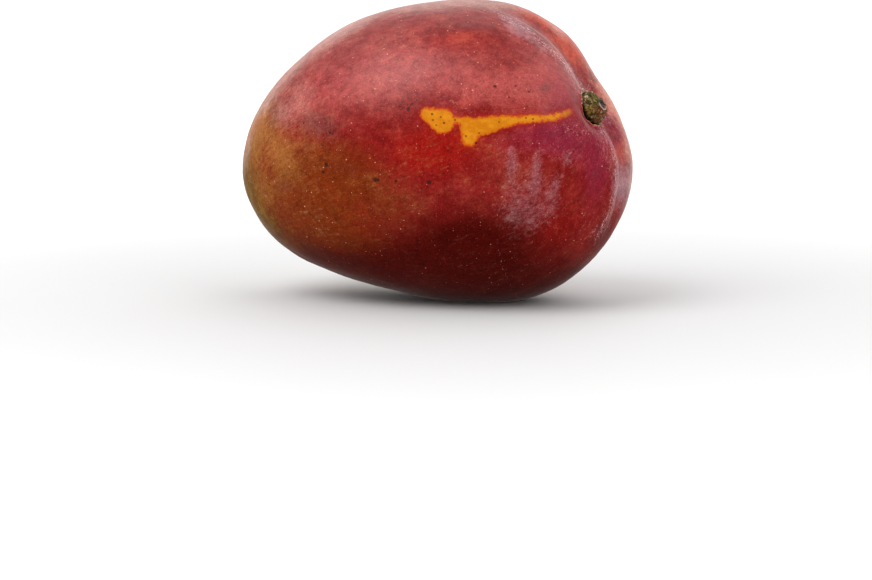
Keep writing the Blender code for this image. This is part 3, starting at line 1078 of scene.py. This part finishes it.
def barkPaint():
    paint = Paint(bpy.data.materials.new("stem_bark"))
    hues = stemColours
    look = barkLook
    top = stub["height"] * millimetres
    x, y, z = paint.split("stubPlace")
    own = paint.vector(x, y, z)
    patch = paint.noise(*barkNoises["patch"], at=own)
    grain = paint.noise(*barkNoises["grain"], at=own)
    speckle = paint.noise(*barkNoises["speckle"], at=own)
    fibre = paint.noise(*barkNoises["fibre"], at=paint.vector(x, y, z * stub["stretch"]))
    radius = (x * x + y * y) ** 0.5

    # Green and straw above, a gold painted highlight at the middle, brown and rust below
    paint.colour = hues["olive"]
    paint.lay((patch + grain * 0.3 + x * 0.03).step(*look["mossEdge"]), hues["moss"])
    # painted highlight: gold at mid height on one side of the stub
    golden = 1.0 - (z - look["goldHighlightHeight"]).size().step(*look["goldHighlightBand"])
    golden = golden * (y * 0.2 - x.size() * 0.15 + fibre).step(*look["goldEdge"])
    paint.lay(golden * 0.8, hues["gold"])
    paint.lay((patch + z * 0.08 - x * 0.16).step(*look["brownEdge"]) * 0.9, hues["brown"])
    rusty = (z - top).step(*look["rustFrom"]) * (patch - x * 0.4).step(*look["rustEdge"])
    paint.lay(rusty * 0.85, hues["rust"])
    strawy = (fibre + grain * 0.5).step(*look["strawEdge"]) * (x.step(*look["strawSide"]) * 0.1 + 0.75)
    paint.lay(strawy, hues["straw"])

    # The old leaf scar
    scarHeight = stub["bractHeight"] * millimetres
    scarX, scarY = direction(stub["bractTurn"], 0)[:2] * stubRadius(stub["bractHeight"]) * millimetres
    scarred = paint.measure("DISTANCE", own, (scarX, scarY, scarHeight)) + fibre * 1.2 + grain * 0.5
    ringed = 1.0 - (scarred - look["scarRing"]).size().step(*look["scarRingEdge"])
    paint.lay(ringed * 0.45, hues["straw"])
    paint.lay((1.0 - scarred.step(*look["scarEdge"])) * 0.85, hues["scar"])

    # Cracks, and painted shade at the foot of the stub where it leaves the skin
    bent = paint.vector(x + fibre * 1.5, y + patch * 1.5, z * look["cleftStretch"])
    cleft = paint.clefts(look["cleftScale"], bent)
    cracked = 1.0 - (cleft + grain * 0.1).step(*look["cleftEdge"])
    cracked = cracked * (patch + fibre).step(*look["cleftWhere"])
    paint.lay(cracked * 0.9, hues["crack"])
    paint.lay((fibre * -1.0 - grain * 0.3).step(*look["groovesEdge"]) * 0.8, hues["crack"])
    # painted shade: the stub's foot darkened up to about 2 mm, higher on one side
    side = (y * 0.17 - x * 0.1).step(*look["creviceShadeSide"])
    low, high = look["creviceShade"]
    above = (z + fibre * 1.4 + grain).step(side + low, side * 1.4 + high)
    paint.lay(1.0 - above, hues["crack"])

    # The hollow cut end with its thin pale rim
    onTop = (z - top + grain * 0.2).step(*look["topFrom"]).most(1.0 - radius.step(*look["topRadius"]))
    hollow = radius + grain * 0.6
    ring = hollow.step(*look["rimInner"]) * (1.0 - hollow.step(*look["rimOuter"]))
    ring = ring * (fibre - x * 0.12 + 0.6).step(*look["rimWhere"])
    paint.lay(onTop * ring, hues["cutRim"])
    patched = (speckle + grain * 0.5 - x * 0.05).step(*look["hollowPatch"])
    inside = paint.blend(patched, hues["cut"], hues["cutPatch"])
    paint.lay(onTop * (1.0 - hollow.step(*look["hollowEdge"])), inside)
    paint.feed(paint.shader, {"Specular IOR Level": 0.15})
    return paint.finish(grain * 0.3 + 0.75, fibre * 0.35 + grain * 0.12 - cracked * 0.2)


print("stem")
stem = buildStem(barkPaint(), stemPlace)
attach(stem, "root")
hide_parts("stem")


# Dried sap at the upper left of the stub
crumbs = {
    "count": 70,
    "turns": (-45, 80),         # degrees round the stub between which they lie
    "radius": (0.0046, 0.0063),
    "height": 0.0050,           # where they start to settle from, above the socket's floor
    "size": (0.00012, 0.00034),
    "stretch": ((0.7, 1.4), (0.7, 1.4), (0.6, 1.0)),
    "sunk": 0.3,                # share of the size
    "unevenness": 0.5,
    "lumpScale": 4000.0,
    "drawScale": 9000.0,        # gives each crumb lumps of its own
    "paleEdge": (-0.15, 0.1),
    "seed": 7,
}


def crumbPaint():
    paint = Paint(bpy.data.materials.new("dried_sap"))
    patch = paint.noise(1500.0, 3.0, 0.6)
    paint.colour = stemColours["sapShade"]
    paint.lay(patch.step(*crumbs["paleEdge"]), stemColours["sap"])
    return paint.finish(patch * 0.2 + 0.6, patch * 0.1)


def buildCrumbs(paint, place, carriers):
    # Each crumb settles along the stub's axis onto whatever lies under it
    dice = random.Random(crumbs["seed"])
    graph = bpy.context.evaluated_depsgraph_get()
    trees = [bvhtree.BVHTree.FromObject(carrier, graph) for carrier in carriers]
    down = place.to_3x3() @ Vector((0.0, 0.0, -1.0))
    bm = bmesh.new()
    for number in range(crumbs["count"]):
        turn = math.radians(dice.uniform(*crumbs["turns"]))
        radius = dice.uniform(*crumbs["radius"])
        size = dice.uniform(*crumbs["size"])
        stretch = Vector([dice.uniform(*limits) for limits in crumbs["stretch"]])
        start = place @ Vector((radius * math.cos(turn), radius * math.sin(turn), crumbs["height"]))
        falls = [tree.ray_cast(start, down)[3] for tree in trees]
        fall = min(distance for distance in falls if distance is not None)
        made = bmesh.ops.create_icosphere(bm, subdivisions=2, radius=size)
        for vert in made["verts"]:
            lumpAt = vert.co * crumbs["lumpScale"] + start * crumbs["drawScale"]
            rough = 1.0 + crumbs["unevenness"] * noise.noise(lumpAt)
            vert.co = start + down * (fall - size * crumbs["sunk"]) + vert.co * stretch * rough
    return newObject("sap_crumbs", bm, paint)


sap = buildCrumbs(crumbPaint(), stemPlace, (fruit, stem))
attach(sap, "root")


stage = {
    "floorHalfWidth": 8.0,
    "wallHeight": 1.2,
    "floorColour": (0.74, 0.74, 0.74),
    "farGlow": (0.45, 0.45, 0.45),     # added light that fades the floor into the white room
    "glowEdge": (0.10, 0.50),
    "floorDarker": 0.985,
    "skyBright": 0.95,                 # behind, above and beside the fruit
    "skyDim": 0.22,                    # round the camera, where the studio is dark
    "skyTilt": -0.35,
    "skyEdge": (-0.2, 0.9),
    # place, size, strength in watts
    "lights": [
        ((-0.50, -0.75, 1.10), 1.1, 10.0),
        ((0.9, -0.5, 0.9), 0.8, 2.0),
        ((0.0, 0.9, 1.1), 1.0, 1.5),
    ],
}


def buildFloor():
    bm = bmesh.new()
    bmesh.ops.create_grid(bm, x_segments=2, y_segments=2, size=stage["floorHalfWidth"])
    rim = [edge for edge in bm.edges if edge.is_boundary]
    raised = bmesh.ops.extrude_edge_only(bm, edges=rim)["geom"]
    raised = [item for item in raised if isinstance(item, bmesh.types.BMVert)]
    bmesh.ops.translate(bm, verts=raised, vec=(0.0, 0.0, stage["wallHeight"]))
    paint = Paint(bpy.data.materials.new("floor_paint"))
    soft = paint.noise(3.0, 2.0, 0.5)
    darker = tuple(value * stage["floorDarker"] for value in stage["floorColour"])
    paint.colour = stage["floorColour"]
    paint.lay(soft + 0.5, darker)
    away = paint.measure("LENGTH", paint.place)
    glow = paint.blend(away.step(*stage["glowEdge"]), (0.0, 0.0, 0.0), stage["farGlow"])
    paint.feed(paint.shader, {"Emission Color": glow, "Emission Strength": 1.0})
    return newObject("floor", bm, paint.finish(0.7, soft * 0.01), smooth=False)


def buildLights():
    for place, size, watts in stage["lights"]:
        data = bpy.data.lights.new("softLight", "AREA")
        data.shape = "DISK"
        data.size = size
        data.energy = watts
        light = bpy.data.objects.new("softLight", data)
        light.location = place
        light.rotation_euler = (boxMiddle - Vector(place)).to_track_quat("-Z", "Y").to_euler()
        bpy.context.scene.collection.objects.link(light)
    room = bpy.data.worlds.new("whiteRoom")
    paint = Paint(room, "Generated")
    side = Vector((back.x, back.y, stage["skyTilt"])).normalized()
    dimming = paint.measure("DOT_PRODUCT", paint.place, side).step(*stage["skyEdge"])
    bright = dimming * (stage["skyDim"] - stage["skyBright"]) + stage["skyBright"]
    paint.feed(paint.shader, {"Strength": bright, "Color": (1.0, 1.0, 1.0)})
    bpy.context.scene.world = room


def buildCamera():
    data = bpy.data.cameras.new("photoCamera")
    data.lens = camera["lens"]
    data.sensor_width = camera["sensor"]
    made = bpy.data.objects.new("photoCamera", data)
    made.matrix_world = Matrix.Translation(cameraPlace) @ cameraTurn.to_4x4()
    bpy.context.scene.collection.objects.link(made)
    bpy.context.scene.camera = made


print("stage")
buildFloor()
buildLights()
buildCamera()
bpy.context.scene.view_settings.view_transform = "Standard"
bpy.context.scene.view_settings.look = "None"
